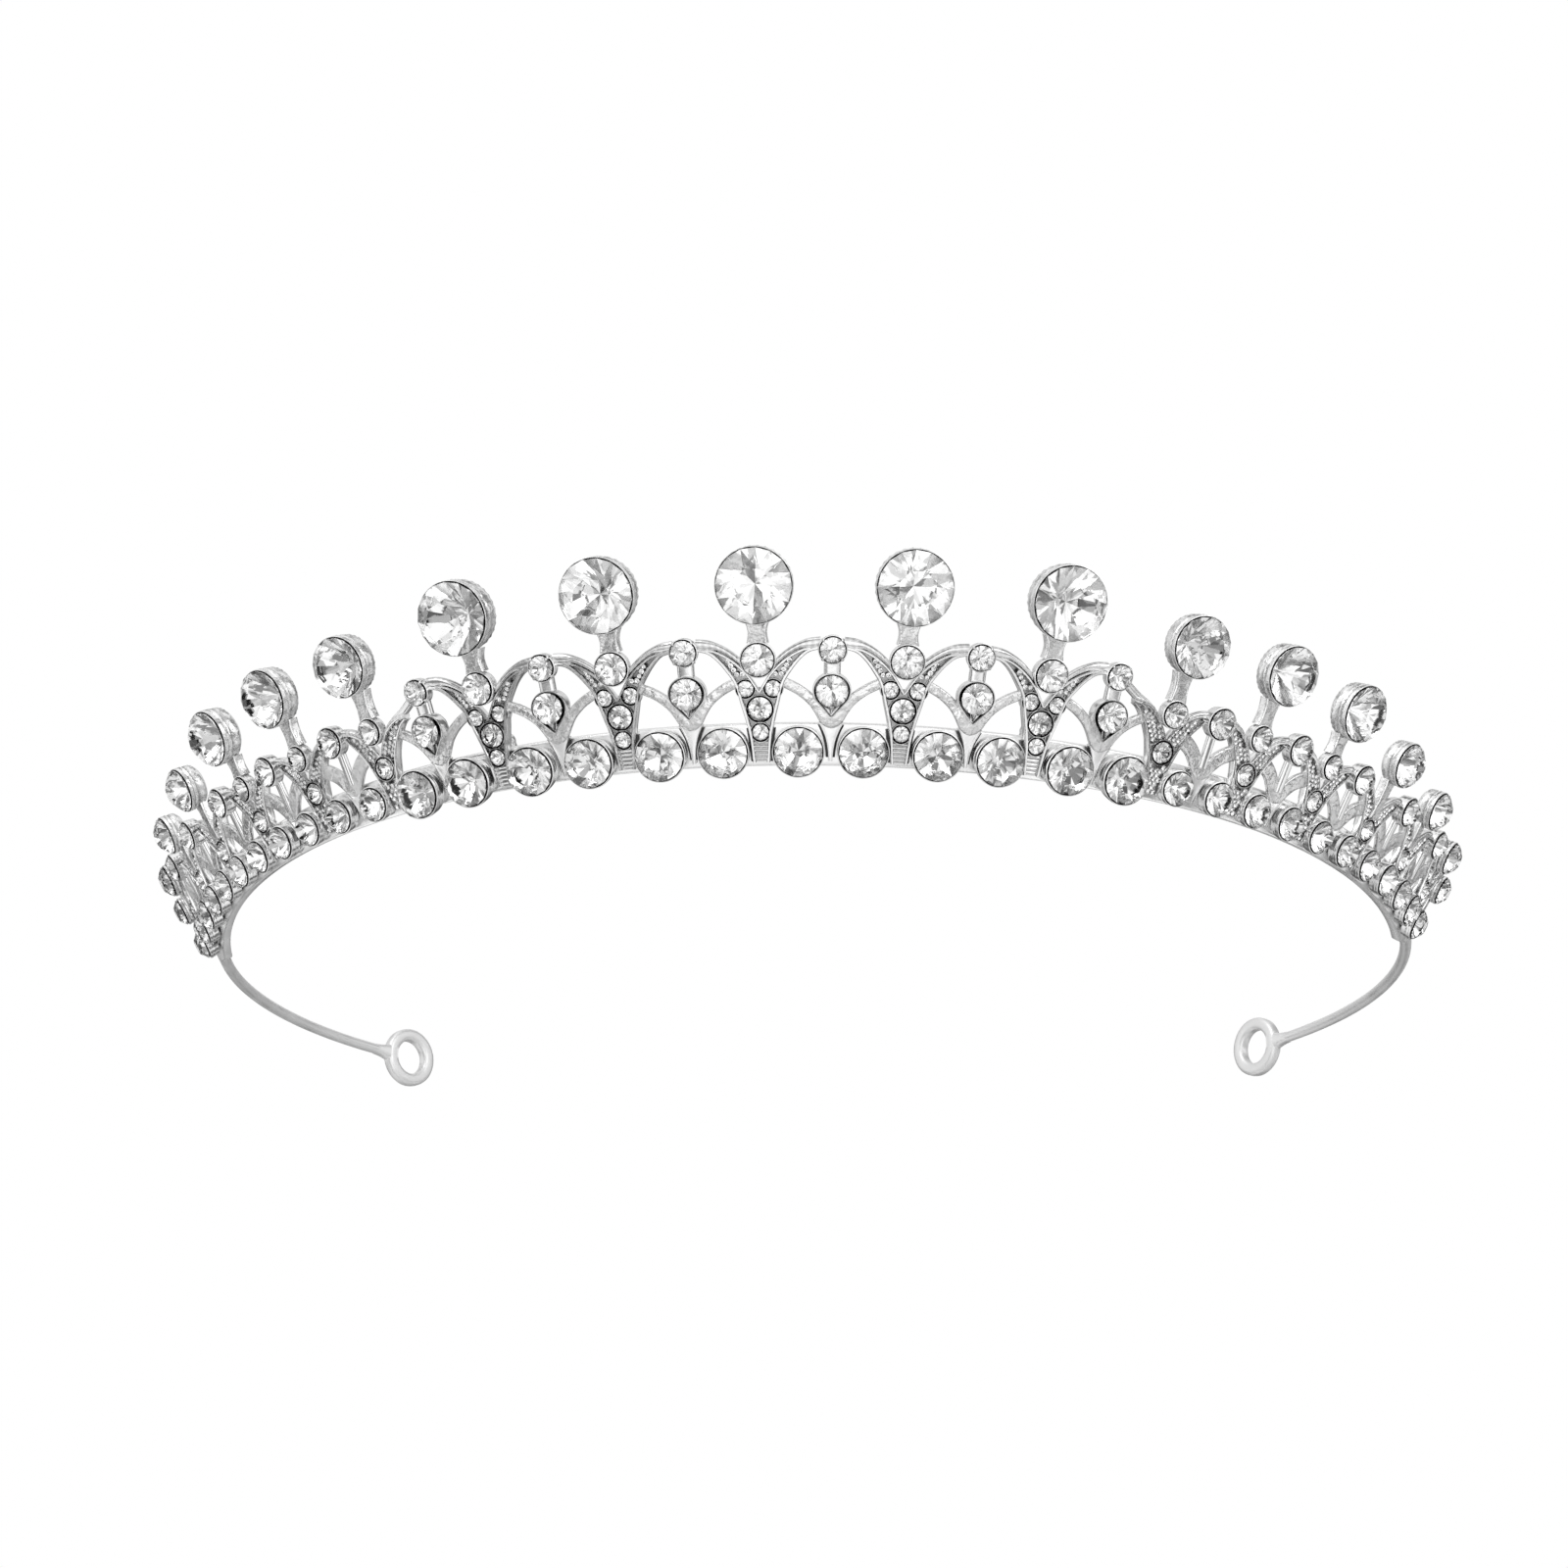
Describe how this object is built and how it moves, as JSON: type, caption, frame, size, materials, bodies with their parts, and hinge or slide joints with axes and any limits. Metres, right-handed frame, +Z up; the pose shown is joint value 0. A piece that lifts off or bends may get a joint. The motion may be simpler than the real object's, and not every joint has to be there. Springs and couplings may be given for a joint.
{
  "type": "tiara",
  "caption": "Horseshoe bridal tiara: flared silver-plated openwork band with V motifs and leaf drops, clear cut stones, tall crown spikes and springy wire arms with pin rings.",
  "frame": {"origin": "middle of the bounding box's bottom, on the plane that the lowest cup rims and both rings touch", "axes": "+X to the viewer's right along the tiara's width, -Y to the front (the tallest spike), +Z up through the spikes"},
  "size_m": [0.1692, 0.1394, 0.0234],
  "materials": {
    "cast_silver": "bright rhodium-look silver plate over cast alloy, lightly textured",
    "matte_silver": "satin silver plate with polished edges",
    "wire_silver": "smooth silver-plated spring wire",
    "crystal": "clear foil-backed cut glass",
    "pave_crystal": "tiny clear foil-backed cut glass"
  },
  "bodies": {
    "tiara_band": {"base_band": "cast_silver", "base_cups_left": "cast_silver", "base_cups_right": "cast_silver", "v_motif_center": "cast_silver", "v_motif_left_1": "cast_silver", "v_motif_left_2": "cast_silver", "v_motif_left_3": "cast_silver", "v_motif_left_4": "cast_silver", "v_motif_left_5": "cast_silver", "v_motif_left_6": "cast_silver", "v_motif_left_7": "cast_silver", "v_motif_left_8": "cast_silver", "v_motif_right_1": "cast_silver", "v_motif_right_2": "cast_silver", "v_motif_right_3": "cast_silver", "v_motif_right_4": "cast_silver", "v_motif_right_5": "cast_silver", "v_motif_right_6": "cast_silver", "v_motif_right_7": "cast_silver", "v_motif_right_8": "cast_silver", "leaf_left_1": "matte_silver", "leaf_left_2": "matte_silver", "leaf_left_3": "matte_silver", "leaf_left_4": "matte_silver", "leaf_left_5": "matte_silver", "leaf_left_6": "matte_silver", "leaf_left_7": "matte_silver", "leaf_left_8": "matte_silver", "leaf_right_1": "matte_silver", "leaf_right_2": "matte_silver", "leaf_right_3": "matte_silver", "leaf_right_4": "matte_silver", "leaf_right_5": "matte_silver", "leaf_right_6": "matte_silver", "leaf_right_7": "matte_silver", "leaf_right_8": "matte_silver", "crown_spike_center": "cast_silver", "crown_spike_left_1": "cast_silver", "crown_spike_left_2": "cast_silver", "crown_spike_left_3": "cast_silver", "crown_spike_left_4": "cast_silver", "crown_spike_left_5": "cast_silver", "crown_spike_right_1": "cast_silver", "crown_spike_right_2": "cast_silver", "crown_spike_right_3": "cast_silver", "crown_spike_right_4": "cast_silver", "crown_spike_right_5": "cast_silver", "crown_spikes_end_left": "cast_silver", "crown_spikes_end_right": "cast_silver", "rear_lugs": "cast_silver", "base_stones_large": "crystal", "base_stones_small": "crystal", "crown_stones": "crystal", "crotch_stones": "crystal", "apex_stones": "crystal", "drop_stones": "crystal", "motif_stones": "crystal", "pave_stones": "pave_crystal"},
    "left_wire": {"side_wire_left": "wire_silver"},
    "right_wire": {"side_wire_right": "wire_silver"}
  },
  "joints": [
    {"name": "left_wire_flex", "type": "hinge", "parent": "tiara_band", "child": "left_wire", "pos_m": [-0.07862, 0.01489, 0.00435], "axis": [0, 0, -1], "range_deg": [-8, 10], "stiffness_Nm_per_rad": 0.6},
    {"name": "right_wire_flex", "type": "hinge", "parent": "tiara_band", "child": "right_wire", "pos_m": [0.07862, 0.01489, 0.00435], "axis": [0, 0, 1], "range_deg": [-8, 10], "stiffness_Nm_per_rad": 0.6}
  ]
}
